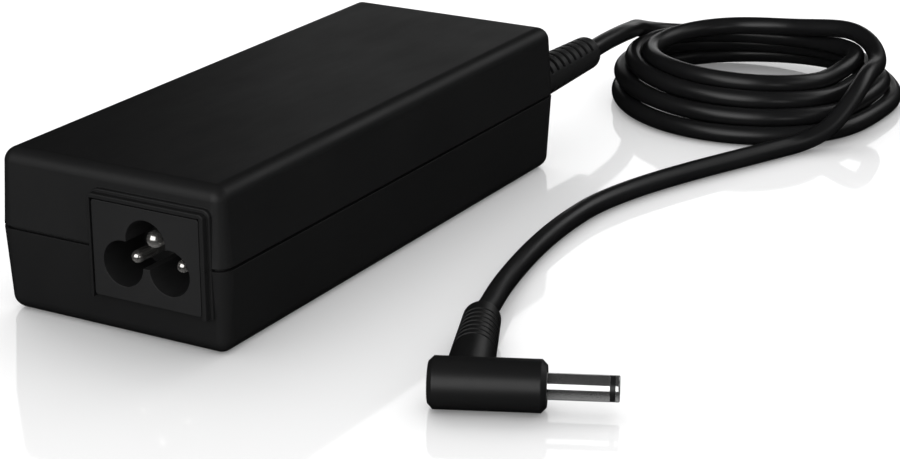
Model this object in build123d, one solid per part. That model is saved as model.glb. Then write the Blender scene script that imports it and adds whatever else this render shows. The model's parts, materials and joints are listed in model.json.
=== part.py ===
from build123d import *
import math
import os

# Laptop power adapter: mains brick with a three-pin inlet, a coiled DC cord and a right-angle barrel plug.
# Millimetres. Origin: centre of the case's underside. +Z up, +Y towards the cord end, -Y is the inlet end.

# ---- case ----
CASE_W = 50.0
CASE_L = 124.0
CASE_H = 31.2
PARTING_Z = 16.4
DRAFT = 3.5
CORNER_R = 2.9
EDGE_R = 2.7
WALL = 2.0
GROOVE = 0.3           # half the height of the visible parting groove
GROOVE_DEPTH = 0.9
TONGUE = 0.8
TONGUE_H = 1.2
CLEAR = 0.1
FIT = 0.02
FRONT_Y = -CASE_L / 2
REAR_Y = CASE_L / 2
LABEL_W = 38.0
LABEL_L = 70.0
LABEL_T = 0.2

# ---- mains inlet (three-pin clover-leaf pattern) ----
INLET_X = 9.2
INLET_Z = 16.75
INLET_W = 23.0
INLET_H = 17.9
INLET_PROUD = 1.2
INLET_GAP = 0.3
INLET_DEPTH = 14.5
CAVITY_DEPTH = 12.0
PIN_PITCH = 10.0
LIVE_Z = 14.7
EARTH_Z = 19.3
LOBE_R = 4.3
NOTCH_HALF = 2.2
NOTCH_Z = 14.5
LIVE_PIN_R = 1.2
LIVE_PIN_SET_BACK = 3.1
EARTH_PIN_R = 1.6
EARTH_PIN_SET_BACK = 1.45
PIN_TAIL = 4.0
INLET_FACE = FRONT_Y - INLET_PROUD
INLET_BACK = INLET_FACE + INLET_DEPTH
PIN_SHOULDER = 0.3   # a pin is this much thicker where it is moulded into the housing
LIP_PROUD = 1.4
LIP_SIDE = 0.8
LIP_LEFT = 0.55
LIP_BOTTOM_Z = 7.2
COLLAR = 0.6
COLLAR_PROUD = 0.2
PINS = {               # x, z, radius, and how far the tip lies behind the inlet's face
    "line_pin": (INLET_X - PIN_PITCH / 2, LIVE_Z, LIVE_PIN_R, LIVE_PIN_SET_BACK),
    "neutral_pin": (INLET_X + PIN_PITCH / 2, LIVE_Z, LIVE_PIN_R, LIVE_PIN_SET_BACK),
    "earth_pin": (INLET_X, EARTH_Z, EARTH_PIN_R, EARTH_PIN_SET_BACK),
}
WIRE_R = 0.9
WIRE_ENDS = {          # the pin a wire starts on, and where it meets the board
    "inlet_line_wire": ("line_pin", (-10.0, -41.6)),
    "inlet_neutral_wire": ("neutral_pin", (17.5, -41.6)),
    "inlet_earth_wire": ("earth_pin", (5.5, -41.6)),
}

# ---- DC cord and its strain relief on the case ----
CORD_R = 2.08
CORD_REST = CORD_R + 0.02   # height of the cord's axis where it lies on the floor
CORD_X = 16.5
CORD_STRIP_Y = 52.0
BOOT_BASE_R = 4.75
BOOT_TIP_R = 3.75
BOOT_END_Y = 94.0
BOOT_SLOTS = 9
BOOT_PITCH = 2.95
SLOT_W = 1.2
SLOT_DEPTH = 1.25
SPINE_HALF = 1.7
CORD_PIECE = 40.0      # the cord is swept in pieces of about this length
JOINT_GAP = 0.1        # air between the cut ends of two cord lengths that bend against each other
LEAD_HINGE = (CORD_X, BOOT_END_Y + 2.5, PARTING_Z)
TAIL_HINGE = (64.6, 89.2, CORD_REST)
LIFT_HINGE = (46.35, 30.0, CORD_REST)
TAIL_TANGENT = (-0.40, -0.917, 0)
LIFT_TANGENT = (0, -1, 0)
# Points of the cord's axis: leaving the boot and falling on to the coil's far side, then (turn, distance
# from the coil's axis, height) round to the floor, then over the coil's right side and along the floor.
LEAD_RISE = [(16.3, 101.0, 16.4), (15.9, 108.5, 16.2), (15.2, 116.0, 15.6), (13.5, 123.5, 14.3),
             (11.2, 131.5, 12.5), (10.7, 139.5, 10.1)]
LEAD_DESCENT = [(42, 36.4, 7.2), (72, 36.8, 5.8), (105, 36.5, 4.3), (132, 36.1, 2.4), (158, 34.1, 2.12)]
TAIL_CROSSING = [(73.6, 122.0, 12.4), (74.2, 114.4, 10.8), (73.6, 107.7, 7.7), (71.6, 102.0, 4.3),
                 (68.1, 96.4, 2.35)]
TAIL_FLOOR = [(54.2, 65.0, CORD_REST), (48.1, 46.0, CORD_REST)]
END_FLOOR = [(47.5, 12.5, CORD_REST), (50.6, -4.5, CORD_REST + 0.3)]

# ---- coil: each turn leans on the turn below ----
COIL_X = 43.3
COIL_Y = 126.4
COIL_R = 31.55
COIL_OVAL = 1.4        # the coil is this much longer towards OVAL_TURN, and shorter across it
OVAL_TURN = 234
COIL_SPREAD = 0.6
LAY = 4.24
FIRST_LEAN = 119
# How far a turn leans on the turn below: (turn, angle), where 90 is straight above and more leans inwards.
LEAN = [(540, 142), (630, 122), (720, 92), (810, 134), (900, 143), (990, 126), (1080, 128), (1170, 137),
        (1260, 137), (1350, 135), (1440, 165), (1530, 126), (1550, 113), (1570, 70), (1590, 32), (1610, 10)]
LAST_TURN = 1610
STEP = 30

# ---- plug ----
PLUG_X = 70.95
PLUG_Y = -58.6
PLUG_TURN = 24.27
PLUG_TILT = -1.7
PLUG_R = 4.5
PLUG_BACK = -6.4
PLUG_FRONT = 13.4
PLUG_CHAMFER = 0.9
NECK_BASE_R = 4.2
NECK_TIP_R = 3.45
NECK_L = 31.2
NECK_HINGE = (0.98, 39.0)   # the free cord's hinge, across and along the boot, and how it leans there
NECK_LEAN = (0.12, 1.0)
RING_COUNT = 7
RING_START = 4.4        # the first ring groove lies this far behind the boot's mouth
RING_PITCH = 2.2
RING_W = 0.7
BARREL_R = 2.25
BARREL_L = 12.0
SLEEVE_L = 10.4
RING_L = 0.85
SLEEVE_BACK = 6.4
SLEEVE_SHOULDER = 0.3
FACE_X = PLUG_FRONT + BARREL_L

# ---- circuit board ----
BOARD_W = 43.0
BOARD_Y0 = -46.0
BOARD_Y1 = 56.0
BOARD_Z = 5.6
BOARD_T = 1.6
BOARD_TOP = BOARD_Z + BOARD_T
LEAD_R = 0.4
LEAD_HOLE_R = 0.5
LEAD_END_Z = 4.4
POST_R = 1.6
BOARD_POSTS = [(sx * 19.4, y) for sx in (-1, 1) for y in (-43.0, 5.0, 53.0)]
LEADS = {              # where each component's leads pass through the board
    "fuse": [(-17.0, -39.0), (-17.0, -21.0)],
    "inrush_thermistor": [(-9.5, -33.0), (-4.5, -33.0)],
    "x_capacitor": [(0.0, -35.2), (15.0, -35.2)],
    "cm_choke_winding_front": [(5.0, -26.6), (11.0, -26.6)],
    "cm_choke_winding_rear": [(5.0, -15.6), (11.0, -15.6)],
    "bridge_rectifier": [(-17.6, -15.0), (-13.6, -15.0), (-9.6, -15.0), (-5.6, -15.0)],
    "bulk_capacitor": [(12.0, -5.75), (12.0, 1.75)],
    "switching_transistor": [(16.2, 19.45), (16.2, 22.0), (16.2, 24.55)],
    "transformer_bobbin": [(x, y) for x in (-9.0, -3.0, 3.0, 9.0) for y in (11.5, 34.5)],
    "y_capacitor": [(-18.2, 14.0), (-18.2, 21.5)],
    "optocoupler": [(x, y) for x in (-20.0, -15.6) for y in (30.0, 32.5)],
    "output_rectifier": [(-15.7, 44.45), (-15.7, 47.0), (-15.7, 49.55)],
    "output_capacitors": [(-7.0, 44.0), (-3.0, 44.0), (4.0, 44.0), (8.0, 44.0)],
    "output_choke_winding": [(-6.0, 53.6), (0.0, 53.6)],
}

# ---- wound parts and heatsinks ----
CHOKE_X = 8.0
CHOKE_Y = -21.1
CHOKE_Z = 14.6
CORE_Y = 23.0
CORE_Z = 17.0
CORE_HALF_W = 13.5
CORE_HALF_L = 7.5
CORE_HALF_H = 8.6
LEG_R = 4.6
SCREW_R = 1.5
PRIMARY_SINK = (19.2, 20.6)
PRIMARY_Y = 22.0
SECONDARY_SINK = (-20.2, -18.8)
SECONDARY_Y = 47.0


def block(x0, x1, y0, y1, z0, z1):
    """A box from its two corners."""
    centre = Pos((x0 + x1) / 2, (y0 + y1) / 2, (z0 + z1) / 2)
    return centre * Box(x1 - x0, y1 - y0, z1 - z0)


def post(x, y, z0, z1, r):
    """An upright cylinder."""
    return Pos(x, y, (z0 + z1) / 2) * Cylinder(r, z1 - z0)


def rod_y(x, z, y0, y1, r):
    """A cylinder along Y."""
    return Pos(x, (y0 + y1) / 2, z) * Rot(90, 0, 0) * Cylinder(r, y1 - y0)


def rod_x(y, z, x0, x1, r):
    """A cylinder along X."""
    return Pos((x0 + x1) / 2, y, z) * Rot(0, 90, 0) * Cylinder(r, x1 - x0)


def cone_y(x, z, y0, y1, r0, r1):
    """A cone along Y, radius r0 at y0 and r1 at y1."""
    return Pos(x, (y0 + y1) / 2, z) * Rot(-90, 0, 0) * Cone(r0, r1, y1 - y0)


def drafted(w, l, r, z, height, up):
    """A rounded rectangle at height z that narrows by the mould's draft as it goes up or down."""
    plane = Plane(origin=(0, 0, z), x_dir=(1, 0, 0), z_dir=(0, 0, 1 if up else -1))
    return extrude(plane * RectangleRounded(w, l, r), amount=height, taper=DRAFT)


def wire(points, r, start):
    """A round wire through the given points, that leaves along start and ends straight down."""
    path = Spline(*points, tangents=(start, (0, 0, -1)))
    return sweep(Plane(origin=path @ 0, z_dir=path % 0) * Circle(r), path=path)


# ---------------------------------------------------------------- case

def outer_half(up):
    height = CASE_H - PARTING_Z if up else PARTING_Z
    body = drafted(CASE_W, CASE_L, CORNER_R, PARTING_Z, height, up)
    face = body.faces().sort_by(Axis.Z)[-1 if up else 0]
    return fillet(face.edges(), EDGE_R)


def inner_half(up):
    height = (CASE_H - PARTING_Z if up else PARTING_Z) - WALL
    return drafted(CASE_W - 2 * WALL, CASE_L - 2 * WALL, CORNER_R - WALL, PARTING_Z, height, up)


def rim(inset, width, z0, z1):
    """A band that follows the case's outline, inset from it, from z0 to z1."""
    w = CASE_W - 2 * inset
    l = CASE_L - 2 * inset
    outline = RectangleRounded(w, l, max(CORNER_R - inset, 0.4))
    hole = RectangleRounded(w - 2 * width, l - 2 * width, max(CORNER_R - inset - width, 0.3))
    return extrude(Plane.XY.offset(z0) * (outline - hole), amount=z1 - z0)


def arch(x0, x1, y0, y1, z1, corner, edge):
    """A block with round upper corners, and its front edges rounded a little."""
    body = block(x0, x1, y0, y1, LIP_BOTTOM_Z, z1)
    body = fillet(body.edges().filter_by(Axis.Y).sort_by(Axis.Z)[-2:], corner)
    return fillet(body.faces().sort_by(Axis.Y)[0].edges(), edge)


def inlet_lip():
    """The raised lip round the top and sides of the inlet, on a low collar, open at the bottom."""
    x0 = INLET_X - INLET_W / 2 - INLET_GAP
    x1 = INLET_X + INLET_W / 2 + INLET_GAP
    top = INLET_Z + INLET_H / 2 + INLET_GAP
    front = FRONT_Y - LIP_PROUD
    back = FRONT_Y + WALL * 0.6
    right = x1 + LIP_SIDE
    high = top + LIP_SIDE
    lip = arch(x0 - LIP_LEFT, right, front, back, high, 0.9, 0.2)
    lip += arch(x0 - LIP_LEFT, right + COLLAR, FRONT_Y - COLLAR_PROUD, back, high + COLLAR, 1.5, 0.25)
    return lip - block(x0, x1, front - 1, FRONT_Y + WALL, 0, top)


def inlet_opening():
    half = INLET_W / 2 + INLET_GAP
    low = INLET_Z - INLET_H / 2 - INLET_GAP
    high = INLET_Z + INLET_H / 2 + INLET_GAP
    return block(INLET_X - half, INLET_X + half, FRONT_Y - 3, FRONT_Y + WALL + 2, low, high)


def boot_seat():
    """The hole in the rear wall for the strain relief's neck, half in each shell."""
    return rod_y(CORD_X, PARTING_Z, REAR_Y - WALL - 2, REAR_Y + 1, BOOT_BASE_R + 0.05)


def upper_shell():
    body = outer_half(True) - inner_half(True)
    body -= rim(0, GROOVE_DEPTH, PARTING_Z, PARTING_Z + GROOVE)
    body -= rim(WALL - TONGUE - CLEAR, TONGUE + CLEAR, PARTING_Z, PARTING_Z + TONGUE_H + CLEAR)
    body += inlet_lip() & block(-CASE_W, CASE_W, -CASE_L, 0, PARTING_Z + 0.02, CASE_H)
    return body - inlet_opening() - boot_seat()


def lower_shell():
    body = outer_half(False) - inner_half(False)
    body -= rim(0, GROOVE_DEPTH, PARTING_Z - GROOVE, PARTING_Z)
    body += rim(WALL - TONGUE, TONGUE, PARTING_Z - 0.5, PARTING_Z + TONGUE_H)
    body += inlet_lip() & block(-CASE_W, CASE_W, -CASE_L, 0, 0, PARTING_Z - 0.02)
    for x, y in BOARD_POSTS:
        body += post(x, y, WALL - 0.5, BOARD_Z, POST_R)
    body -= label_recess()
    return body - inlet_opening() - boot_seat()


def label_recess():
    half_w = LABEL_W / 2 + CLEAR
    half_l = LABEL_L / 2 + CLEAR
    return block(-half_w, half_w, -half_l, half_l, 0, LABEL_T)


def rating_label():
    """A blank label that fills the recess of the underside."""
    return block(-LABEL_W / 2, LABEL_W / 2, -LABEL_L / 2, LABEL_L / 2, 0, LABEL_T)


# ---------------------------------------------------------------- mains inlet

def clover():
    """The cavity's outline: three round lobes, with a flat between the lower two."""
    floor = INLET_FACE + CAVITY_DEPTH
    hole = block(INLET_X - NOTCH_HALF, INLET_X + NOTCH_HALF, INLET_FACE - 1, floor, NOTCH_Z, EARTH_Z)
    for x, z, _, _ in PINS.values():
        hole += rod_y(x, z, INLET_FACE - 1, floor, LOBE_R)
    return hole


def inlet_housing():
    half = INLET_W / 2
    low = INLET_Z - INLET_H / 2
    high = INLET_Z + INLET_H / 2
    body = block(INLET_X - half, INLET_X + half, INLET_FACE, INLET_BACK, low, high)
    body = fillet(body.edges().filter_by(Axis.Y), 0.5)
    body -= clover()
    for x, z, r, _ in PINS.values():
        body -= rod_y(x, z, INLET_FACE, INLET_BACK + 1, r + PIN_SHOULDER + FIT)
    return body


def inlet_pin(name):
    """A round pin with a domed tip, and a thicker length through the housing to its solder end."""
    x, z, r, set_back = PINS[name]
    dome = INLET_FACE + set_back + r
    floor = INLET_FACE + CAVITY_DEPTH
    pin = rod_y(x, z, dome, floor + 1, r) + Pos(x, dome, z) * Sphere(r)
    return pin + rod_y(x, z, floor, INLET_BACK + PIN_TAIL, r + PIN_SHOULDER)


def inlet_wire(name):
    """A wire from a pin's solder end down to the board."""
    pin, (x, y) = WIRE_ENDS[name]
    px, pz, _, _ = PINS[pin]
    start = INLET_BACK + PIN_TAIL + 0.05
    middle = ((px + x) / 2, y, (pz + BOARD_TOP) / 2 + 1.0)
    return wire([(px, start, pz), middle, (x, y, BOARD_TOP + 0.05)], WIRE_R, (0, 1, 0))


# ---------------------------------------------------------------- board and its components

def leads(name, top):
    """The solder leads of one component, from inside its body down through the board."""
    return [post(x, y, LEAD_END_Z, top, LEAD_R) for x, y in LEADS[name]]


def with_leads(body, name, top):
    for lead in leads(name, top):
        body += lead
    return body


def circuit_board():
    board = block(-BOARD_W / 2, BOARD_W / 2, BOARD_Y0, BOARD_Y1, BOARD_Z, BOARD_TOP)
    board = chamfer(board.edges().filter_by(Axis.Z), 1.5)
    for points in LEADS.values():
        for x, y in points:
            board -= post(x, y, BOARD_Z - 1, BOARD_TOP + 1, LEAD_HOLE_R)
    return board


def fuse():
    body = rod_y(-17.0, 11.0, -40.5, -19.5, 2.6)
    for y in (-41.0, -22.5):
        body += rod_y(-17.0, 11.0, y, y + 3.5, 2.9)
    return with_leads(body, "fuse", 10.0)


def inrush_thermistor():
    disc = Pos(-7.0, -33.0, 14.5) * Rot(90, 0, 0) * Cylinder(5.5, 4.2)
    disc = fillet(disc.edges(), 1.2)
    return with_leads(disc, "inrush_thermistor", 13.0)


def x_capacitor():
    box = fillet(block(-1.4, 16.6, -39.2, -31.2, BOARD_TOP + 0.3, 22.0).edges(), 0.8)
    return with_leads(box, "x_capacitor", 9.0)


def cm_choke_core():
    ring = post(CHOKE_X, CHOKE_Y, CHOKE_Z - 4.0, CHOKE_Z + 4.0, 8.5)
    ring -= post(CHOKE_X, CHOKE_Y, CHOKE_Z - 5.0, CHOKE_Z + 5.0, 4.4)
    return ring


def cm_choke_winding(side):
    """One winding over half of the ring core. side is -1 at the front, 1 at the rear."""
    ring = post(CHOKE_X, CHOKE_Y, CHOKE_Z - 5.1, CHOKE_Z + 5.1, 9.6)
    ring = fillet(ring.edges(), 1.0)
    ring -= post(CHOKE_X, CHOKE_Y, CHOKE_Z - 6.0, CHOKE_Z + 6.0, 3.3)
    core = post(CHOKE_X, CHOKE_Y, CHOKE_Z - 4.05, CHOKE_Z + 4.05, 8.55)
    core -= post(CHOKE_X, CHOKE_Y, CHOKE_Z - 5.0, CHOKE_Z + 5.0, 4.35)
    near = CHOKE_Y + side * 1.2
    far = CHOKE_Y + side * 12
    half = block(CHOKE_X - 12, CHOKE_X + 12, min(near, far), max(near, far), 5, 25)
    name = "cm_choke_winding_front" if side < 0 else "cm_choke_winding_rear"
    return with_leads((ring - core) & half, name, CHOKE_Z - 4.5)


def bridge_rectifier():
    body = block(-20.6, -2.6, -16.8, -13.2, 10.5, 24.5)
    body = chamfer(body.edges().filter_by(Axis.Y).sort_by(Axis.Z)[-1:], 2.5)
    body -= rod_y(-11.6, 21.0, -18, -12, 1.6)
    return with_leads(body, "bridge_rectifier", 11.5)


def bulk_capacitor():
    """An electrolytic can lying across the board, with the rolled groove near its leads."""
    can = fillet(rod_x(-2.0, 16.6, -19.5, 10.5, 9.0).edges(), 0.8)
    groove = rod_x(-2.0, 16.6, 7.2, 8.4, 9.5) - rod_x(-2.0, 16.6, 7.0, 8.6, 8.5)
    can -= groove
    for x, y in LEADS["bulk_capacitor"]:
        can += rod_x(y, 16.6, 10.0, x + LEAD_R, LEAD_R)
        can += post(x, y, LEAD_END_Z, 16.6, LEAD_R)
    return can


def core_half(side):
    """One E-shaped ferrite half: a back plate, two outer legs and a round centre leg."""
    mid = CORE_Z + side * 0.03
    back = CORE_Z + side * CORE_HALF_H
    inner = CORE_Z + side * 5.4
    plate = sorted((inner, back))
    legs = sorted((mid, back))
    body = block(-CORE_HALF_W, CORE_HALF_W, CORE_Y - CORE_HALF_L, CORE_Y + CORE_HALF_L, *plate)
    for x in (-CORE_HALF_W, CORE_HALF_W - 2.8):
        body += block(x, x + 2.8, CORE_Y - CORE_HALF_L, CORE_Y + CORE_HALF_L, *legs)
    return body + post(0, CORE_Y, legs[0], legs[1], LEG_R)


def transformer_bobbin():
    """The coil former: a tube round the centre leg, two cheeks, and pin rails front and rear."""
    low = CORE_Z - 5.3
    high = CORE_Z + 5.3
    body = post(0, CORE_Y, low, high, LEG_R + 1.0)
    for z0, z1 in ((low, low + 0.8), (high - 0.8, high)):
        body += post(0, CORE_Y, z0, z1, 10.4)
    for y0, y1 in ((10.0, 13.2), (32.8, 36.0)):
        body += block(-11.5, 11.5, y0, y1, BOARD_TOP + 0.2, low + 0.8)
        body += block(-4.0, 4.0, min(y0, CORE_Y), max(y1, CORE_Y), low, low + 0.8)
    body -= post(0, CORE_Y, low - 1, high + 1, LEG_R + 0.08)
    return with_leads(body, "transformer_bobbin", BOARD_TOP + 2)


def transformer_winding():
    low = CORE_Z - 4.45
    high = CORE_Z + 4.45
    ring = fillet(post(0, CORE_Y, low, high, 9.4).edges(), 0.6)
    return ring - post(0, CORE_Y, low - 1, high + 1, LEG_R + 1.05)


def transformer_tape():
    """Tape wound once round the core, over its ends."""
    w = CORE_HALF_W + 0.05
    z0 = CORE_Z - CORE_HALF_H - 0.05
    z1 = CORE_Z + CORE_HALF_H + 0.05
    hole = block(-w, w, CORE_Y - 5, CORE_Y + 5, z0, z1)
    return block(-w - 0.25, w + 0.25, CORE_Y - 3, CORE_Y + 3, z0 - 0.25, z1 + 0.25) - hole


def heatsink(x0, x1, y0, y1, foot):
    """An upright plate with a short foot turned along the top. foot is -1 or 1 along X."""
    body = block(x0, x1, y0, y1, BOARD_TOP + 0.1, 26.2)
    edge = x1 if foot > 0 else x0
    reach = sorted((edge, edge + foot * 3.0))
    return body + block(reach[0], reach[1], y0, y1, 24.9, 26.2)


def flat_package(x0, x1, y, name):
    """A power transistor body with its tab, upright against a heatsink. x0 is the heatsink side."""
    thick = sorted((x0, x1))
    tab = sorted((x0, x0 + (1.3 if x1 > x0 else -1.3)))
    body = block(thick[0], thick[1], y - 5.0, y + 5.0, 9.6, 17.6)
    body = chamfer(body.edges().filter_by(Axis.Z), 0.4)
    body += block(tab[0], tab[1], y - 5.0, y + 5.0, 9.6, 23.6)
    body -= rod_x(y, 20.6, thick[0] - 1, thick[1] + 1, SCREW_R + 0.1)
    return with_leads(body, name, 10.5)


def primary_heatsink():
    x0, x1 = PRIMARY_SINK
    return heatsink(x0, x1, 9.0, 36.0, -1) - rod_x(PRIMARY_Y, 20.6, x0 - 1, x1 + 1, SCREW_R - 0.02)


def secondary_heatsink():
    x0, x1 = SECONDARY_SINK
    return heatsink(x0, x1, 38.5, 52.0, 1) - rod_x(SECONDARY_Y, 20.6, x0 - 1, x1 + 1, SCREW_R - 0.02)


def insulating_pad(x0, x1, y):
    """The thin pad between a power package and its heatsink."""
    return block(x0, x1, y - 5.6, y + 5.6, 9.2, 24.3) - rod_x(y, 20.6, x0 - 1, x1 + 1, SCREW_R + 0.1)


def heatsink_pads():
    return Part() + [insulating_pad(18.95, 19.15, PRIMARY_Y), insulating_pad(-18.75, -18.55, SECONDARY_Y)]


def package_screw(y, head_x, thread_x):
    """A pan-head screw along X that clamps a power package to its heatsink."""
    away = 1 if head_x > thread_x else -1
    shank = sorted((head_x, thread_x))
    head = sorted((head_x, head_x + away * 1.8))
    body = rod_x(y, 20.6, shank[0], shank[1], SCREW_R - 0.05)
    body += rod_x(y, 20.6, head[0], head[1], 2.7)
    slot_x = sorted((head_x + away * 1.0, head_x + away * 2.0))
    return body - block(slot_x[0], slot_x[1], y - 3, y + 3, 20.3, 20.9)


def heatsink_screws():
    return Part() + [package_screw(PRIMARY_Y, 17.55, 20.55), package_screw(SECONDARY_Y, -17.15, -20.15)]


def y_capacitor():
    disc = Pos(-18.2, 17.75, 15.0) * Rot(0, 90, 0) * Cylinder(4.8, 4.0)
    return with_leads(fillet(disc.edges(), 1.2), "y_capacitor", 13.0)


def optocoupler():
    body = chamfer(block(-19.3, -16.3, 28.9, 33.6, 8.0, 11.4).edges(), 0.3)
    for x, y in LEADS["optocoupler"]:
        inner = sorted((x, x + (1.0 if x < -18 else -1.0)))
        body += block(inner[0], inner[1], y - 0.6, y + 0.6, 9.2, 9.7)
        body += post(x, y, LEAD_END_Z, 9.5, LEAD_R)
    return body


def controller_chip():
    """The small control chip soldered on the underside of the board."""
    body = chamfer(block(-9.5, -5.6, 20.0, 24.9, 3.95, BOARD_Z - 0.15).edges(), 0.2)
    for i in range(4):
        y = 20.55 + i * 1.27
        body += block(-10.6, -4.5, y - 0.2, y + 0.2, BOARD_Z - 0.3, BOARD_Z - 0.02)
    return body


def output_capacitors():
    cans = []
    for x in (-5.0, 6.0):
        can = fillet(post(x, 44.0, BOARD_TOP + 0.3, 25.6, 4.9).edges(), 0.6)
        can -= post(x, 44.0, 10.0, 10.8, 6) - post(x, 44.0, 9.9, 10.9, 4.6)
        for lx, ly in LEADS["output_capacitors"]:
            if abs(lx - x) < 3:
                can += post(lx, ly, LEAD_END_Z, 9.0, LEAD_R)
        cans.append(can)
    return Part() + cans


def output_choke_core():
    return Pos(-3.0, 53.6, 14.0) * Rot(90, 0, 0) * (Cylinder(5.2, 3.0) - Cylinder(2.6, 4.0))


def output_choke_winding():
    """The output choke's winding over the lower part of its ring core."""
    ring = Cylinder(6.0, 4.2) - Cylinder(1.9, 5.0)
    ring -= Cylinder(5.25, 3.1) - Cylinder(2.55, 3.1)
    ring = Pos(-3.0, 53.6, 14.0) * Rot(90, 0, 0) * ring
    return with_leads(ring - block(-12, 6, 48, 58, 16.0, 24), "output_choke_winding", 9.2)


def lower_heat_spreader():
    plate = block(-17.2, 17.2, -44.0, 52.0, WALL + 0.05, WALL + 0.85)
    return fillet(plate.edges().filter_by(Axis.Z), 1.5)


def lower_insulating_sheet():
    return block(-17.4, 17.4, -45.0, 53.0, WALL + 0.95, WALL + 1.25)


def upper_heat_spreader():
    """A folded plate under the lid, with a turned-down edge along each side."""
    top = CASE_H - WALL - 0.15
    plate = block(-20.8, 20.8, -44.0, 54.0, top - 0.8, top)
    for x in (-20.8, 20.0):
        plate += block(x, x + 0.8, -44.0, 54.0, top - 2.4, top)
    return plate


def upper_insulating_sheet():
    top = CASE_H - WALL - 1.05
    return block(-19.8, 19.8, -45.0, 55.0, top - 0.3, top)


# ---------------------------------------------------------------- strain relief on the case

def boot_slots(count, first_y, step, width, reach, core, axis):
    """Ring slots over the upper and lower halves, leaving a spine along each side."""
    x, z = axis
    cut = None
    for i in range(count):
        y = first_y + i * step
        ring = rod_y(x, z, y, y + width, reach) - rod_y(x, z, y - 0.1, y + width + 0.1, core(y))
        ring -= block(x - 2 * reach, x + 2 * reach, y - 1, y + width + 1, z - SPINE_HALF, z + SPINE_HALF)
        cut = ring if cut is None else cut + ring
    return cut


def case_strain_relief():
    axis = (CORD_X, PARTING_Z)
    outer = cone_y(*axis, REAR_Y - WALL - 1.0, BOOT_END_Y, BOOT_BASE_R, BOOT_TIP_R)
    outer = fillet(outer.edges().sort_by(Axis.Y)[-1:], 1.4)
    flange = rod_y(*axis, REAR_Y - WALL - 3.0, REAR_Y - WALL - 0.5, BOOT_BASE_R + 1.4)
    body = outer + flange

    def core(y):
        share = (y - REAR_Y) / (BOOT_END_Y - REAR_Y)
        return BOOT_BASE_R + (BOOT_TIP_R - BOOT_BASE_R) * share - SLOT_DEPTH

    body -= boot_slots(BOOT_SLOTS, REAR_Y + 3.6, BOOT_PITCH, SLOT_W, BOOT_BASE_R + 1, core, axis)
    return body - rod_y(*axis, REAR_Y - 10, BOOT_END_Y + 1, CORD_R + 0.02)


# ---------------------------------------------------------------- DC cord

def ease(t):
    """Rises smoothly from 0 to 1 as t goes from 0 to 1."""
    t = max(0.0, min(1.0, t))
    return t * t * (3 - 2 * t)


def lay_angle(turn):
    """The lean of a turn, eased between the angles of the table."""
    for (t0, a0), (t1, a1) in zip(LEAN, LEAN[1:]):
        if turn <= t1:
            return a0 + (a1 - a0) * ease((turn - t0) / (t1 - t0))
    return LEAN[-1][1]


def coil_section(turn):
    """Distance from the coil's axis and height of the cord, after it has turned by this many degrees."""
    if turn < 540:
        rise = LAY * math.sin(math.radians(FIRST_LEAN))
        return COIL_R + COIL_SPREAD * (turn - 180) / 360, CORD_REST + rise * ease((turn - 400) / 140)
    r, z = coil_section(turn - 360)
    a = math.radians(lay_angle(turn))
    step = LAY + 0.3 * ease((turn - 1525) / 60)
    return r + step * math.cos(a), z + step * math.sin(a)


def coil_point(turn, r, z):
    """A point of the coil. turn runs clockwise seen from above, from 0 at the coil's left side."""
    reach = r + COIL_OVAL * math.cos(2 * math.radians(turn - OVAL_TURN))
    a = math.radians(180 - turn)
    return (COIL_X + reach * math.cos(a), COIL_Y + reach * math.sin(a), z)


def plug_frame():
    """The plug's own frame: X along the barrel, Y along the boot."""
    return Pos(PLUG_X, PLUG_Y, PLUG_R) * Rot(0, 0, PLUG_TURN) * Rot(PLUG_TILT, 0, 0)


def plug_point(across, along_boot):
    p = (plug_frame() * Pos(across, along_boot, 0)).position
    return (p.X, p.Y, p.Z)


def step_back(point, tangent, distance):
    size = math.sqrt(sum(c * c for c in tangent))
    return tuple(p - c * distance / size for p, c in zip(point, tangent))


def cord_length(points, start_tangent, end_tangent):
    """A length of cord. It starts as a ball on its hinge and stops just short of the next hinge."""
    stop = step_back(points[-1], end_tangent, CORD_R + JOINT_GAP)
    path = Spline(*points[:-1], stop, tangents=(start_tangent, end_tangent))
    count = max(2, round(path.length / CORD_PIECE))
    pieces = [path.trim(i / count, (i + 1) / count) for i in range(count)]
    tube = sweep(Plane(origin=path @ 0, z_dir=path % 0) * Circle(CORD_R), path=Wire(pieces))
    return tube + Pos(*points[0]) * Sphere(CORD_R - 0.01)


def dc_cord_entry():
    """The cord inside the strain relief, from its stripped end in the case to the boot's tip."""
    return rod_y(CORD_X, PARTING_Z, CORD_STRIP_Y, LEAD_HINGE[1] - CORD_R - JOINT_GAP, CORD_R)


def dc_cord_coil():
    turns = list(range(180, 1531, STEP)) + [1550, 1570, 1590, LAST_TURN]
    points = [LEAD_HINGE] + LEAD_RISE
    points += [coil_point(*p) for p in LEAD_DESCENT]
    points += [coil_point(t, *coil_section(t)) for t in turns]
    points += TAIL_CROSSING + [TAIL_HINGE]
    return cord_length(points, (0, 1, 0), TAIL_TANGENT)


def dc_cord_tail():
    return cord_length([TAIL_HINGE] + TAIL_FLOOR + [LIFT_HINGE], TAIL_TANGENT, LIFT_TANGENT)


def dc_cord_end():
    hinge = plug_point(*NECK_HINGE)
    before = plug_point(NECK_HINGE[0] + NECK_LEAN[0], NECK_HINGE[1] + NECK_LEAN[1])
    along = tuple(h - b for h, b in zip(hinge, before))
    return cord_length([LIFT_HINGE] + END_FLOOR + [hinge], LIFT_TANGENT, along)


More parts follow.
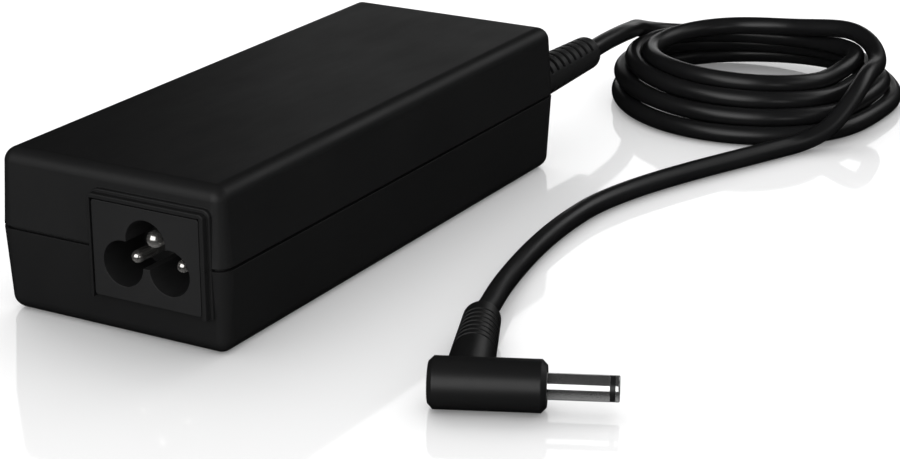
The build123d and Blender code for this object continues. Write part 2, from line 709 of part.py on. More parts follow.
def dc_wires():
    """Positive, return and sense wires from the cord's end to the board."""
    wires = {}
    for name, offset, (x, y) in (
        ("dc_positive_wire", (-0.95, 0.55), (13.0, 42.5)),
        ("dc_return_wire", (0.95, 0.55), (19.0, 42.5)),
        ("dc_sense_wire", (0.0, -1.1), (16.0, 45.5)),
    ):
        start = (CORD_X + offset[0], CORD_STRIP_Y - 0.1, PARTING_Z + offset[1])
        middle = ((start[0] + x) / 2, (start[1] + y) / 2 - 1.0, 12.5 + offset[1])
        wires[name] = wire([start, middle, (x, y, BOARD_TOP + 0.05)], 0.75, (0, -1, 0))
    return wires


# ---------------------------------------------------------------- plug

def neck_radius(y):
    share = (y - PLUG_R) / (NECK_L - PLUG_R)
    return NECK_BASE_R + (NECK_TIP_R - NECK_BASE_R) * share


def plug_overmould():
    """The moulded right-angle body, with its ribbed boot."""
    body = rod_x(0, 0, PLUG_BACK, PLUG_FRONT, PLUG_R)
    body = chamfer(body.edges().filter_by(GeomType.CIRCLE), PLUG_CHAMFER)
    boot = cone_y(0, 0, 1.0, NECK_L, neck_radius(1.0), NECK_TIP_R)
    boot = fillet(boot.edges().sort_by(Axis.Y)[-1:], 1.0)
    for i in range(RING_COUNT):
        y = NECK_L - RING_START - i * RING_PITCH
        r = neck_radius(y)
        disc = rod_y(0, 0, y - RING_W, y, r + 1)
        shallow = disc - rod_y(0, 0, y - RING_W - 0.1, y + 0.1, r - 0.3)
        deep = disc - rod_y(0, 0, y - RING_W - 0.1, y + 0.1, r - 0.75)
        deep -= block(-SPINE_HALF, SPINE_HALF, y - 3, y + 3, -8, 8)
        boot -= shallow + deep
    body += boot
    body -= rod_y(0, 0, 6.0, NECK_L + 1, CORD_R + 0.05)
    body -= rod_x(0, 0, SLEEVE_BACK - FIT, PLUG_FRONT + 1, BARREL_R + SLEEVE_SHOULDER + FIT)
    return body


def plug_outer_sleeve():
    """The barrel's outer contact, thicker where it is moulded into the body."""
    end = PLUG_FRONT + SLEEVE_L
    body = rod_x(0, 0, SLEEVE_BACK, PLUG_FRONT, BARREL_R + SLEEVE_SHOULDER)
    body += rod_x(0, 0, SLEEVE_BACK, end, BARREL_R)
    return body - rod_x(0, 0, SLEEVE_BACK - 1, end + 1, BARREL_R - 0.3)


def plug_insulating_ring():
    """Insulating tube between the two sleeves, which shows as a dark ring near the barrel's tip."""
    x1 = PLUG_FRONT + SLEEVE_L + 0.02
    x2 = x1 + RING_L
    body = rod_x(0, 0, SLEEVE_BACK, x1, BARREL_R - 0.32) + rod_x(0, 0, x1, x2, BARREL_R - 0.02)
    return body - rod_x(0, 0, SLEEVE_BACK - 1, x2 + 1, BARREL_R - 0.5)


def plug_inner_sleeve():
    x1 = PLUG_FRONT + SLEEVE_L + RING_L + 0.04
    body = rod_x(0, 0, SLEEVE_BACK, x1, BARREL_R - 0.52) + rod_x(0, 0, x1, FACE_X, BARREL_R)
    body = fillet(body.edges().sort_by(Axis.X)[-1:], 0.25)
    return body - rod_x(0, 0, SLEEVE_BACK - 1, FACE_X + 1, 1.5)


def plug_inner_insulator():
    body = rod_x(0, 0, SLEEVE_BACK, SLEEVE_BACK + 8.0, 1.48)
    return body - rod_x(0, 0, SLEEVE_BACK - 1, SLEEVE_BACK + 9, 0.37)


def plug_centre_pin():
    return rod_x(0, 0, SLEEVE_BACK, FACE_X - 2.0, 0.35) + Pos(FACE_X - 2.0, 0, 0) * Sphere(0.35)


def plug_cord_core():
    """The cord's end inside the boot, moulded into the plug."""
    return rod_y(0, 0, 6.05, 23.9, CORD_R)


def plug_cord_neck():
    """The last free cord, from inside the boot out to its hinge, where it starts to lean."""
    path = Spline((0, NECK_L, 0), (*NECK_HINGE, 0), tangents=((0, 1, 0), (*NECK_LEAN, 0)))
    bent = sweep(Plane(origin=path @ 0, z_dir=path % 0) * Circle(CORD_R), path=path)
    straight = rod_y(0, 0, 24.0, NECK_L, CORD_R)
    return straight + bent + Pos(*NECK_HINGE, 0) * Sphere(CORD_R - 0.01)


# ---------------------------------------------------------------- write the parts

def all_parts():
    parts = {
        "upper_shell": upper_shell(),
        "lower_shell": lower_shell(),
        "rating_label": rating_label(),
        "inlet_housing": inlet_housing(),
        "circuit_board": circuit_board(),
        "fuse": fuse(),
        "inrush_thermistor": inrush_thermistor(),
        "x_capacitor": x_capacitor(),
        "cm_choke_core": cm_choke_core(),
        "cm_choke_winding_front": cm_choke_winding(-1),
        "cm_choke_winding_rear": cm_choke_winding(1),
        "bridge_rectifier": bridge_rectifier(),
        "bulk_capacitor": bulk_capacitor(),
        "transformer_core_upper": core_half(1),
        "transformer_core_lower": core_half(-1),
        "transformer_bobbin": transformer_bobbin(),
        "transformer_winding": transformer_winding(),
        "transformer_tape": transformer_tape(),
        "primary_heatsink": primary_heatsink(),
        "secondary_heatsink": secondary_heatsink(),
        "switching_transistor": flat_package(18.9, 14.3, PRIMARY_Y, "switching_transistor"),
        "output_rectifier": flat_package(-18.5, -13.9, SECONDARY_Y, "output_rectifier"),
        "heatsink_pads": heatsink_pads(),
        "heatsink_screws": heatsink_screws(),
        "y_capacitor": y_capacitor(),
        "optocoupler": optocoupler(),
        "controller_chip": controller_chip(),
        "output_capacitors": output_capacitors(),
        "output_choke_core": output_choke_core(),
        "output_choke_winding": output_choke_winding(),
        "lower_heat_spreader": lower_heat_spreader(),
        "lower_insulating_sheet": lower_insulating_sheet(),
        "upper_heat_spreader": upper_heat_spreader(),
        "upper_insulating_sheet": upper_insulating_sheet(),
        "case_strain_relief": case_strain_relief(),
        "dc_cord_entry": dc_cord_entry(),
        "dc_cord_coil": dc_cord_coil(),
        "dc_cord_tail": dc_cord_tail(),
        "dc_cord_end": dc_cord_end(),
    }
    parts.update(dc_wires())
    for name in PINS:
        parts[name] = inlet_pin(name)
    for name in WIRE_ENDS:
        parts[name] = inlet_wire(name)
    for make in (plug_overmould, plug_outer_sleeve, plug_insulating_ring, plug_inner_sleeve,
                 plug_inner_insulator, plug_centre_pin, plug_cord_core, plug_cord_neck):
        parts[make.__name__] = plug_frame() * make()
    return parts


os.makedirs("parts", exist_ok=True)
for node, solid in all_parts().items():
    export_step(solid, "parts/" + node + ".step")
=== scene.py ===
import json
import math

import bpy
import numpy as np
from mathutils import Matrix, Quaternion, Vector


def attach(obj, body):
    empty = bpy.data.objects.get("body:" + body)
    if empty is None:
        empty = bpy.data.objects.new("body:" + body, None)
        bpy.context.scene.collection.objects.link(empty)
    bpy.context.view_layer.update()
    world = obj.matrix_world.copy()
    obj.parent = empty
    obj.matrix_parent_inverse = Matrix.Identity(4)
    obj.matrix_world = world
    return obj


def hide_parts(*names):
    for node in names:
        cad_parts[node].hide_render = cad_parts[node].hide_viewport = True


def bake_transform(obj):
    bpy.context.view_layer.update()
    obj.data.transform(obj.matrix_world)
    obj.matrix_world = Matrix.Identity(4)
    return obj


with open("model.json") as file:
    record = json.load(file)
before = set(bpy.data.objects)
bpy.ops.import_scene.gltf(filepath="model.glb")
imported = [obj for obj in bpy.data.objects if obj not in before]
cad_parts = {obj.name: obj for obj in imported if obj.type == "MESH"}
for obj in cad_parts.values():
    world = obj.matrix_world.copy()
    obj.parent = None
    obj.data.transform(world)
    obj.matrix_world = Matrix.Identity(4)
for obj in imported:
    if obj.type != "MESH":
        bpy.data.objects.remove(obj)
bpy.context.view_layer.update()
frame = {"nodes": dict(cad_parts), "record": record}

# Looks of the laptop power adapter. Lengths in the cord's formulas are millimetres, as in the CAD model.
# Everything that reaches Blender is in metres, in the row frame.
MM = 0.001

# ---- camera and studio ----
CAMERA_AZIMUTH = 29.89
CAMERA_ELEVATION = 20.08
CAMERA_ROLL = -0.14
CAMERA_LENS = 94.26
CAMERA_DISTANCE = 0.44
CAMERA_SHIFT = (0.00173, 0.00158)
CAMERA_AIM = Vector((0.0410, -0.0124, 0.0113))
FLOOR_SIZE = 8.0

# ---- cord: the same path as the CAD cord, swept once without cuts ----
CORD_R = 2.08
CORD_REST = CORD_R + 0.02
JOINT_GAP = 0.1
CORD_SIDES = 40
RING_STEP = 0.8
BOOT_TIP_Y = 94.0
CORD_X = 16.5
CORD_Z = 16.4
LEAD_START = (CORD_X, 80.0, CORD_Z)
LEAD_HINGE = (CORD_X, BOOT_TIP_Y + 2.5, CORD_Z)
TAIL_HINGE = (64.6, 89.2, CORD_REST)
LIFT_HINGE = (46.35, 30.0, CORD_REST)
TAIL_TANGENT = (-0.40, -0.917, 0)
LIFT_TANGENT = (0, -1, 0)
LEAD_RISE = [(16.3, 101.0, 16.4), (15.9, 108.5, 16.2), (15.2, 116.0, 15.6), (13.5, 123.5, 14.3),
             (11.2, 131.5, 12.5), (10.7, 139.5, 10.1)]
LEAD_DESCENT = [(42, 36.4, 7.2), (72, 36.8, 5.8), (105, 36.5, 4.3), (132, 36.1, 2.4), (158, 34.1, 2.12)]
TAIL_CROSSING = [(73.6, 122.0, 12.4), (74.2, 114.4, 10.8), (73.6, 107.7, 7.7), (71.6, 102.0, 4.3),
                 (68.1, 96.4, 2.35)]
TAIL_FLOOR = [(54.2, 65.0, CORD_REST), (48.1, 46.0, CORD_REST)]
END_FLOOR = [(47.5, 12.5, CORD_REST), (50.6, -4.5, CORD_REST + 0.3)]
COIL_X = 43.3
COIL_Y = 126.4
COIL_R = 31.55
COIL_OVAL = 1.4
OVAL_TURN = 234
COIL_SPREAD = 0.6
LAY = 4.24
FIRST_LEAN = 119
LEAN = [(540, 142), (630, 122), (720, 92), (810, 134), (900, 143), (990, 126), (1080, 128), (1170, 137),
        (1260, 137), (1350, 135), (1440, 165), (1530, 126), (1550, 113), (1570, 70), (1590, 32), (1610, 10)]
LAST_TURN = 1610
TURN_STEP = 30

# ---- plug ----
PLUG_AT = (70.95, -58.6, 4.5)
PLUG_TURN = 24.27
PLUG_TILT = -1.7
NECK_HINGE = (0.98, 39.0, 0)
NECK_LEAN = (0.12, 1.0, 0)
BOOT_MOUTH = 31.2
NECK_END = 24.5


def plug_point(x, y, z):
    """A point given in the plug's own frame, with X along the barrel and Y along the boot."""
    tilt = math.radians(PLUG_TILT)
    turn = math.radians(PLUG_TURN)
    y, z = y * math.cos(tilt) - z * math.sin(tilt), y * math.sin(tilt) + z * math.cos(tilt)
    x, y = x * math.cos(turn) - y * math.sin(turn), x * math.sin(turn) + y * math.cos(turn)
    return (x + PLUG_AT[0], y + PLUG_AT[1], z + PLUG_AT[2])


def plug_direction(x, y, z):
    """A direction given in the plug's own frame."""
    return np.array(plug_point(x, y, z)) - np.array(plug_point(0, 0, 0))


# ---------------------------------------------------------------- the cord's path

def ease(t):
    t = max(0.0, min(1.0, t))
    return t * t * (3 - 2 * t)


def lay_angle(turn):
    """The lean of a turn on the turn below, in degrees: 90 is straight above, more leans inwards."""
    for (t0, a0), (t1, a1) in zip(LEAN, LEAN[1:]):
        if turn <= t1:
            return a0 + (a1 - a0) * ease((turn - t0) / (t1 - t0))
    return LEAN[-1][1]


def coil_section(turn):
    """Distance from the coil's axis and height of the cord, after it has turned by this many degrees."""
    if turn < 540:
        rise = LAY * math.sin(math.radians(FIRST_LEAN))
        return COIL_R + COIL_SPREAD * (turn - 180) / 360, CORD_REST + rise * ease((turn - 400) / 140)
    r, z = coil_section(turn - 360)
    a = math.radians(lay_angle(turn))
    step = LAY + 0.3 * ease((turn - 1525) / 60)
    return r + step * math.cos(a), z + step * math.sin(a)


def coil_point(turn, r, z):
    """A point of the coil. turn runs clockwise seen from above, from 0 at the coil's left side."""
    reach = r + COIL_OVAL * math.cos(2 * math.radians(turn - OVAL_TURN))
    a = math.radians(180 - turn)
    return (COIL_X + reach * math.cos(a), COIL_Y + reach * math.sin(a), z)


def spline(points, start_tangent, end_tangent, samples=40):
    """A smooth curve through the points with the given end directions, as many short steps."""
    p = np.array(points, float)
    h = np.linalg.norm(np.diff(p, axis=0), axis=1)
    n = len(p)
    a = np.zeros((n, n))
    b = np.zeros((n, 3))
    a[0, 0] = a[-1, -1] = 1
    b[0] = np.array(start_tangent) / np.linalg.norm(start_tangent)
    b[-1] = np.array(end_tangent) / np.linalg.norm(end_tangent)
    for i in range(1, n - 1):
        a[i, i - 1] = 1 / h[i - 1]
        a[i, i] = 2 / h[i - 1] + 2 / h[i]
        a[i, i + 1] = 1 / h[i]
        b[i] = 3 * (p[i] - p[i - 1]) / h[i - 1] ** 2 + 3 * (p[i + 1] - p[i]) / h[i] ** 2
    m = np.linalg.solve(a, b)
    t = np.linspace(0, 1, samples, endpoint=False)[:, None]
    curve = []
    for i in range(n - 1):
        low = (2 * t ** 3 - 3 * t ** 2 + 1) * p[i] + (t ** 3 - 2 * t ** 2 + t) * h[i] * m[i]
        high = (3 * t ** 2 - 2 * t ** 3) * p[i + 1] + (t ** 3 - t ** 2) * h[i] * m[i + 1]
        curve.append(low + high)
    return np.vstack(curve + [p[-1:]])


def to_hinge(points, start_tangent, end_tangent):
    """One CAD length of cord: a curve that runs straight over its last stretch before the hinge."""
    end = np.array(points[-1], float)
    along = np.array(end_tangent, float) / np.linalg.norm(end_tangent)
    stop = tuple(end - along * (CORD_R + JOINT_GAP))
    return spline(points[:-1] + [stop], start_tangent, end_tangent)


def cord_path():
    """The axis of the whole cord from inside the case's strain relief to inside the plug's boot, in mm."""
    turns = list(range(180, 1531, TURN_STEP)) + [1550, 1570, 1590, LAST_TURN]
    coil = [LEAD_HINGE] + LEAD_RISE + [coil_point(*p) for p in LEAD_DESCENT]
    coil += [coil_point(t, *coil_section(t)) for t in turns] + TAIL_CROSSING + [TAIL_HINGE]
    neck = plug_point(*NECK_HINGE)
    mouth = plug_point(0, BOOT_MOUTH, 0)
    lean = plug_direction(*NECK_LEAN)
    boot = plug_direction(0, -1, 0)
    lengths = [np.array([LEAD_START]),
               to_hinge(coil, (0, 1, 0), TAIL_TANGENT),
               to_hinge([TAIL_HINGE] + TAIL_FLOOR + [LIFT_HINGE], TAIL_TANGENT, LIFT_TANGENT),
               to_hinge([LIFT_HINGE] + END_FLOOR + [neck], LIFT_TANGENT, -lean),
               spline([neck, mouth], -lean, boot),
               np.array([plug_point(0, NECK_END, 0)])]
    return np.vstack(lengths)


def even_steps(path, step):
    """The same path with points at equal distances."""
    lengths = np.linalg.norm(np.diff(path, axis=0), axis=1)
    keep = np.concatenate([[True], lengths > 1e-6])
    path = path[keep]
    travel = np.concatenate([[0], np.cumsum(np.linalg.norm(np.diff(path, axis=0), axis=1))])
    count = int(round(travel[-1] / step)) + 1
    at = np.linspace(0, travel[-1], count)
    return np.stack([np.interp(at, travel, path[:, k]) for k in range(3)], axis=1), at


def carried_frames(path):
    """A pair of cross directions at each point that don't twist along the path."""
    tangent = np.gradient(path, axis=0)
    tangent /= np.linalg.norm(tangent, axis=1)[:, None]
    side = np.zeros_like(path)
    side[0] = np.cross(tangent[0], (0, 0, 1.0))
    for i in range(1, len(path)):
        v = side[i - 1] - tangent[i] * np.dot(side[i - 1], tangent[i])
        side[i] = v / np.linalg.norm(v)
    return side, np.cross(tangent, side)


# ---------------------------------------------------------------- meshes

def new_piece(name, vertices, faces, flat=()):
    """A smooth-shaded mesh object. Faces listed in flat stay flat, with hard edges round them."""
    mesh = bpy.data.meshes.new(name)
    mesh.from_pydata([tuple(v) for v in vertices], [], faces)
    mesh.polygons.foreach_set("use_smooth", [i not in flat for i in range(len(faces))])
    hard = {tuple(sorted(pair)) for i in flat for pair in mesh.polygons[i].edge_keys}
    sharp = mesh.attributes.new("sharp_edge", "BOOLEAN", "EDGE")
    sharp.data.foreach_set("value", [tuple(sorted(e.vertices)) in hard for e in mesh.edges])
    mesh.validate()
    mesh.update()
    piece = bpy.data.objects.new(name, mesh)
    bpy.context.scene.collection.objects.link(piece)
    return piece


def tube(name, centres, side, up, travel, radius, sides):
    """A closed round tube along a path. Its UV map runs along and round the tube, in metres."""
    angles = np.arange(sides) * 2 * math.pi / sides
    ring = np.cos(angles)[None, :, None] * side[:, None, :] + np.sin(angles)[None, :, None] * up[:, None, :]
    points = (centres[:, None, :] + radius * ring).reshape(-1, 3) * MM
    rows = len(centres)
    faces = []
    for i in range(rows - 1):
        for j in range(sides):
            k = (j + 1) % sides
            faces.append((i * sides + j, (i + 1) * sides + j, (i + 1) * sides + k, i * sides + k))
    faces.append(tuple(range(sides)))
    faces.append(tuple(reversed(range((rows - 1) * sides, rows * sides))))
    piece = new_piece(name, points, faces, flat={len(faces) - 2, len(faces) - 1})
    uv = piece.data.uv_layers.new(name="along")
    around = 2 * math.pi * radius / sides
    for f, polygon in enumerate(piece.data.polygons[:-2]):
        i, j = divmod(f, sides)
        corners = [(i, j), (i + 1, j), (i + 1, j + 1), (i, j + 1)]
        for loop, (a, b) in zip(polygon.loop_indices, corners):
            uv.data[loop].uv = (travel[a] * MM, b * around * MM)
    return piece


def nearest(path, point):
    return int(np.argmin(np.linalg.norm(path - np.array(point), axis=1)))


def build_cord(material):
    """The cord as five pieces that share one path; the coil piece is attached to the coil's body and the
    others are baked in place.
    """
    path, travel = even_steps(cord_path(), RING_STEP)
    side, up = carried_frames(path)
    seams = [0,
             nearest(path, LEAD_RISE[1]),
             nearest(path, coil_point(1530, *coil_section(1530))),
             nearest(path, (50.4, 56.0, CORD_REST)),
             nearest(path, END_FLOOR[1]),
             len(path) - 1]
    names = ["cord_lead", "cord_coil", "cord_tail", "cord_end", "cord_neck"]
    pieces = []
    for name, first, last in zip(names, seams, seams[1:]):
        cut = slice(first, last + 1)
        piece = tube(name, path[cut], side[cut], up[cut], travel[cut], CORD_R, CORD_SIDES)
        piece.data.materials.append(material)
        pieces.append(piece)
    lead, coil, tail, end, neck = pieces
    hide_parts("dc_cord_entry")
    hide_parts("dc_cord_coil")
    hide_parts("dc_cord_tail")
    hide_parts("dc_cord_end")
    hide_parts("plug_cord_neck")
    bend_over(lead)
    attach(coil, "coil")
    bend_over(tail)
    bend_over(end)
    bend_over(neck)
    return pieces


def bend_over(piece):
    """Bakes the piece's placement into its mesh; it does not bend it."""
    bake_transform(piece)


# ---------------------------------------------------------------- materials

class Material:
    """A node material built in short steps round one Principled surface."""

    def __init__(self, name):
        self.data = bpy.data.materials.new(name)
        self.data.use_nodes = True
        self.nodes = self.data.node_tree.nodes
        self.links = self.data.node_tree.links
        self.nodes.clear()
        self.surface = self.add("ShaderNodeBsdfPrincipled")
        self.output = self.add("ShaderNodeOutputMaterial")
        self.links.new(self.surface.outputs["BSDF"], self.output.inputs["Surface"])

    def add(self, kind, **inputs):
        node = self.nodes.new(kind)
        for name, value in inputs.items():
            self.put(node.inputs[name.replace("_", " ")], value)
        return node

    def put(self, socket, value):
        if isinstance(value, bpy.types.NodeSocket):
            self.links.new(value, socket)
        else:
            socket.default_value = value

    def set(self, name, value):
        self.put(self.surface.inputs[name], value)

    def place(self, uv=False, stretch=(1, 1, 1)):
        """The piece's own coordinates in metres, or its UV map, stretched."""
        source = self.add("ShaderNodeTexCoord").outputs["UV" if uv else "Object"]
        mapping = self.add("ShaderNodeMapping", Vector=source)
        mapping.inputs["Scale"].default_value = stretch
        return mapping.outputs["Vector"]

    def noise(self, place, scale, detail=3.0, roughness=0.55):
        node = self.add("ShaderNodeTexNoise", Vector=place, Scale=scale, Detail=detail, Roughness=roughness)
        return node.outputs["Fac"]

    def span(self, value, low, high, start=0.3, end=0.7):
        """value between start and end, turned into a number between low and high."""
        node = self.add("ShaderNodeMapRange", Value=value)
        node.inputs["From Min"].default_value = start
        node.inputs["From Max"].default_value = end
        node.inputs["To Min"].default_value = low
        node.inputs["To Max"].default_value = high
        return node.outputs["Result"]

    def math(self, operation, a, b):
        node = self.nodes.new("ShaderNodeMath")
        node.operation = operation
        self.put(node.inputs[0], a)
        self.put(node.inputs[1], b)
        return node.outputs[0]

    def colours(self, amount, low, high):
        node = self.nodes.new("ShaderNodeMix")
        node.data_type = "RGBA"
        self.put(node.inputs[0], amount)
        self.put(node.inputs[6], (*low, 1))
        self.put(node.inputs[7], (*high, 1))
        return node.outputs[2]

    def bump(self, height, strength, distance, normal=None):
        node = self.add("ShaderNodeBump", Height=height, Strength=strength, Distance=distance)
        if normal is not None:
            self.put(node.inputs["Normal"], normal)
        return node.outputs["Normal"]

    def soft_edges(self, radius):
        """A normal that rounds sharp edges by this radius."""
        node = self.add("ShaderNodeBevel", Radius=radius)
        node.samples = 6
        return node.outputs["Normal"]

    def edge_mask(self, rounded):
        """1 along sharp edges, 0 elsewhere."""
        plain = self.add("ShaderNodeNewGeometry").outputs["Normal"]
        node = self.nodes.new("ShaderNodeVectorMath")
        node.operation = "DOT_PRODUCT"
        self.put(node.inputs[0], rounded)
        self.put(node.inputs[1], plain)
        return self.span(node.outputs["Value"], 1.0, 0.0, start=0.8, end=0.995)


def black_plastic(name, tone, rough, grain, gloss, edge=0.0004):
    """Black moulded plastic with a fine grain, faint sheen changes, and edges a little polished by use,
    with a painted highlight along them: a paler base colour.
    """
    m = Material(name)
    place = m.place()
    fine = m.noise(place, 5200, 2.0, 0.6)
    broad = m.noise(place, 45, 3.0, 0.5)
    rub = m.noise(m.place(stretch=(1, 0.25, 1)), 220, 4.0, 0.6)
    rounded = m.soft_edges(edge)
    # Mask along sharp edges: it paints a highlight into the base colour below and lowers the roughness, a
    # real polish.
    edge_polish_and_highlight = m.math("MULTIPLY", m.edge_mask(rounded), m.span(broad, 0.35, 1.0))
    darker = [c * tone for c in (0.96, 0.97, 1.0)]
    paler = [c * tone for c in (1.08, 1.08, 1.1)]
    base = m.colours(m.span(broad, 0, 1), darker, paler)
    # Painted highlight: the base colour turns paler along sharp edges.
    painted_edge_highlight = m.nodes.new("ShaderNodeMix")
    painted_edge_highlight.data_type = "RGBA"
    m.put(painted_edge_highlight.inputs[0], m.math("MULTIPLY", edge_polish_and_highlight, 0.35))
    m.put(painted_edge_highlight.inputs[6], base)
    m.put(painted_edge_highlight.inputs[7], (tone * 2.2, tone * 2.2, tone * 2.25, 1))
    m.set("Base Color", painted_edge_highlight.outputs[2])
    sheen = m.math("ADD", m.span(broad, -0.03, 0.03), m.span(rub, -0.025, 0.025))
    polished = m.math("SUBTRACT", m.math("ADD", sheen, rough), m.math("MULTIPLY", edge_polish_and_highlight, 0.08))
    m.set("Roughness", polished)
    m.set("Specular IOR Level", gloss)
    m.set("Normal", m.bump(fine, grain, 0.00003, rounded))
    return m.data


def cord_jacket():
    """Soft black jacket: drawn lines along the cord, a slight sheen change, fine dust-like grain."""
    m = Material("cord_jacket")
    lines = m.noise(m.place(uv=True, stretch=(0.02, 1, 1)), 2600, 2.0, 0.5)
    grain = m.noise(m.place(uv=True), 3000, 2.0, 0.6)
    broad = m.noise(m.place(uv=True, stretch=(1, 0.4, 1)), 60, 3.0, 0.5)
    m.set("Base Color", m.colours(m.span(broad, 0, 1), (0.006, 0.006, 0.0064), (0.008, 0.008, 0.0085)))
    m.set("Roughness", m.math("ADD", m.span(broad, 0.31, 0.37), m.span(lines, -0.03, 0.03)))
    m.set("Specular IOR Level", 0.6)
    height = m.math("ADD", m.math("MULTIPLY", lines, 0.6), m.math("MULTIPLY", grain, 0.4))
    m.set("Normal", m.bump(height, 0.12, 0.00003))
    return m.data


def bright_metal(name, colour, rough, axis, painted_floor_reflection):
    """Plated metal with fine marks round it. axis is the direction the marks run across, and the last
    argument is how much less metallic its downward-facing side is: a painted reflection of the pale floor."""
    m = Material(name)
    stretch = [0.06 if k != axis else 1.0 for k in range(3)]
    marks = m.noise(m.place(stretch=stretch), 9000, 3.0, 0.6)
    stain = m.noise(m.place(), 350, 3.0, 0.5)
    m.set("Base Color", m.colours(m.span(stain, 0, 1), [c * 0.93 for c in colour], colour))
    # Painted reflection: where the surface faces down it is less metallic, so its pale diffuse tone stands
    # in for the floor's reflection.
    facing = m.add("ShaderNodeSeparateXYZ", Vector=m.add("ShaderNodeNewGeometry").outputs["Normal"])
    m.set("Metallic", m.span(facing.outputs["Z"], 1.0 - painted_floor_reflection, 0.95, start=-0.6, end=0.0))
    m.set("Roughness", m.math("ADD", m.span(marks, rough * 0.75, rough * 1.25), m.span(stain, -0.02, 0.02)))
    m.set("Normal", m.bump(marks, 0.05, 0.000006, m.soft_edges(0.00012)))
    return m.data


def inner_part(name, colour, kind):
    """A part inside the case: its colour with a little mottling, and the grain of its class."""
    metal = kind in ("chrome", "aluminium", "brushed_steel", "brass", "cast_iron")
    m = Material(name)
    stretch = (1, 0.08, 1) if metal else (1, 1, 1)
    grain = m.noise(m.place(stretch=stretch), 2400, 3.0, 0.6)
    mottle = m.noise(m.place(), 260, 4.0, 0.5)
    darker = [c * 0.82 for c in colour]
    paler = [min(1, c * 1.1) for c in colour]
    m.set("Base Color", m.colours(m.span(mottle, 0, 1), darker, paler))
    m.set("Metallic", 0.9 if metal else 0.0)
    low, high = (0.25, 0.42) if metal or kind == "gloss_plastic" else (0.45, 0.65)
    m.set("Roughness", m.span(grain, low, high))
    m.set("Normal", m.bump(grain, 0.15, 0.00003))
    return m.data


def laminate():
    """Circuit board laminate with a faint woven pattern."""
    m = Material("board_laminate")
    along = m.add("ShaderNodeTexWave", Vector=m.place(), Scale=900.0, Distortion=1.5, Detail=2.0)
    across = m.add("ShaderNodeTexWave", Vector=m.place(stretch=(0, 1, 0)), Scale=900.0, Distortion=1.5,
                   Detail=2.0)
    across.bands_direction = "Y"
    both = m.math("ADD", along.outputs["Fac"], across.outputs["Fac"])
    m.set("Base Color", m.colours(m.math("MULTIPLY", both, 0.5), (0.16, 0.12, 0.045), (0.26, 0.20, 0.08)))
    m.set("Roughness", m.span(m.noise(m.place(), 400), 0.3, 0.5))
    m.set("Normal", m.bump(both, 0.1, 0.00003))
    return m.data


def floor_material():
    """A white table, faintly lit from below."""
    m = Material("studio_floor")
    drift = m.noise(m.place(), 1.5, 2.0, 0.5)
    m.set("Base Color", m.colours(m.span(drift, 0, 1), (0.795, 0.795, 0.80), (0.81, 0.81, 0.81)))
    m.set("Roughness", m.span(drift, 0.055, 0.065))
    m.set("IOR", 1.5)
    m.set("Emission Color", (1, 1, 1, 1))
    m.set("Emission Strength", 0.12)
    return m.data


# ---------------------------------------------------------------- dressing the CAD nodes

def dress(node, material):
    """Gives a CAD node a material."""
    piece = frame["nodes"][node]
    piece.data.materials.clear()
    piece.data.materials.append(material)


def dress_case():
    shell = black_plastic("case_plastic", 0.0085, 0.45, 0.30, 0.32, edge=0.00015)
    face = black_plastic("inlet_plastic", 0.0120, 0.44, 0.18, 0.34, edge=0.0002)
    film = black_plastic("label_film", 0.020, 0.30, 0.04, 0.5, edge=0.0001)
    relief = black_plastic("relief_plastic", 0.0110, 0.45, 0.22, 0.40, edge=0.0003)
    plug = black_plastic("plug_plastic", 0.0075, 0.38, 0.10, 0.5, edge=0.0003)
    nickel = bright_metal("pin_metal", (0.78, 0.76, 0.73), 0.20, 1, 0.22)
    barrel = bright_metal("barrel_metal", (0.84, 0.84, 0.84), 0.12, 0, 0.28)
    ring = black_plastic("barrel_insulator", 0.010, 0.30, 0.04, 0.5, edge=0.0001)
    own = {"case_plastic": shell, "inlet_plastic": face, "label_film": film, "relief_plastic": relief,
           "plug_plastic": plug, "pin_metal": nickel, "barrel_metal": barrel, "barrel_insulator": ring,
           "board_laminate": laminate()}
    record = frame["record"]
    for entry in record["materials"]:
        if entry["slot"] not in own and entry["slot"] != "cord_jacket":
            own[entry["slot"]] = inner_part(entry["slot"], entry["base_color"][:3], entry["class"])
    own["cord_jacket"] = cord_jacket()
    for part in record["subparts"]:
        dress(part["node"], own[part["material_slot"]])
    return own


# ---------------------------------------------------------------- studio

def area_light(name, direction, distance, width, height, radiance, only=(), but=()):
    """A soft rectangular light that faces the object from a direction. radiance is its brightness.
    It lights only some objects, or all but some."""
    light = bpy.data.lights.new(name, "AREA")
    light.shape = "RECTANGLE"
    light.size = width
    light.size_y = height
    light.energy = radiance * math.pi * width * height
    lamp = bpy.data.objects.new(name, light)
    bpy.context.scene.collection.objects.link(lamp)
    away = Vector(direction).normalized()
    lamp.location = CAMERA_AIM + away * distance
    lamp.rotation_mode = "QUATERNION"
    lamp.rotation_quaternion = (-away).to_track_quat("-Z", "Y")
    lamp.visible_camera = False
    lit = bpy.data.collections.new(name + "_receivers")
    for piece in list(only) + list(but):
        lit.objects.link(piece)
    for entry in lit.collection_objects:
        entry.light_linking.link_state = "INCLUDE" if only else "EXCLUDE"
    lamp.light_linking.receiver_collection = lit
    return lamp


def build_floor():
    half = FLOOR_SIZE / 2
    corners = [(-half, -half, 0), (half, -half, 0), (half, half, 0), (-half, half, 0)]
    floor = new_piece("studio_floor", corners, [(0, 1, 2, 3)])
    floor.data.materials.append(floor_material())
    floor.visible_glossy = False
    return floor


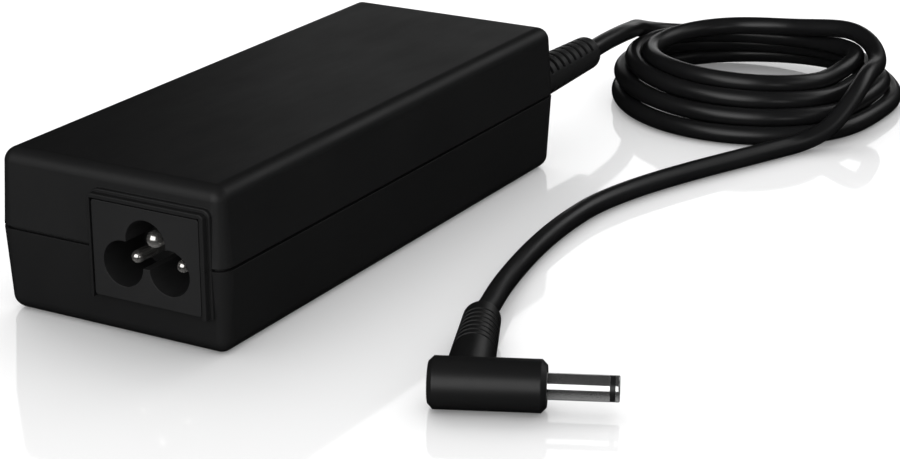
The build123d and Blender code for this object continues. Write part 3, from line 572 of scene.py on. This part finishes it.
def build_world():
    """White for the camera and for soft light all round, but unseen in glossy surfaces."""
    world = bpy.data.worlds.new("studio")
    bpy.context.scene.world = world
    world.use_nodes = True
    world.node_tree.nodes["Background"].inputs["Color"].default_value = (1, 1, 1, 1)
    world.node_tree.nodes["Background"].inputs["Strength"].default_value = 0.95
    world.cycles_visibility.glossy = False


def build_lights(floor, cords):
    area_light("front_softbox", (-0.05, -0.90, 0.36), 0.9, 1.1, 0.75, 1.75, but=[floor])
    area_light("right_card", (0.85, 0.25, 0.45), 0.9, 0.5, 0.4, 0.5, but=[floor])
    area_light("low_right_card", (0.85, -0.45, 0.08), 0.9, 0.3, 0.3, 1.2, but=[floor])
    area_light("back_strip", (-0.38, 0.93, 0.09), 1.2, 0.65, 0.24, 1.0, but=[floor])
    area_light("back_right_card", (0.40, 0.83, 0.50), 0.6, 0.4, 0.22, 1.0, but=[floor])
    area_light("cord_card", (-0.1, -0.55, 0.83), 0.9, 0.9, 0.5, 0.6, only=cords)
    area_light("floor_card", (-0.47, 0.81, 0.55), 2.2, 4.0, 3.2, 1.3, only=[floor])


def build_camera():
    azimuth = math.radians(CAMERA_AZIMUTH)
    elevation = math.radians(CAMERA_ELEVATION)
    flat = math.cos(elevation)
    back = Vector((math.sin(azimuth) * flat, -math.cos(azimuth) * flat, math.sin(elevation)))
    data = bpy.data.cameras.new("camera")
    data.lens = CAMERA_LENS
    data.shift_x, data.shift_y = CAMERA_SHIFT
    data.clip_start = 0.01
    data.clip_end = 50
    camera = bpy.data.objects.new("camera", data)
    bpy.context.scene.collection.objects.link(camera)
    camera.location = CAMERA_AIM + back * CAMERA_DISTANCE
    camera.rotation_mode = "QUATERNION"
    roll = Quaternion((0, 0, 1), math.radians(CAMERA_ROLL))
    camera.rotation_quaternion = (-back).to_track_quat("-Z", "Y") @ roll
    bpy.context.scene.camera = camera


materials = dress_case()
cord_pieces = build_cord(materials["cord_jacket"])
build_world()
build_lights(build_floor(), cord_pieces)
build_camera()
bpy.context.scene.view_settings.view_transform = "Standard"
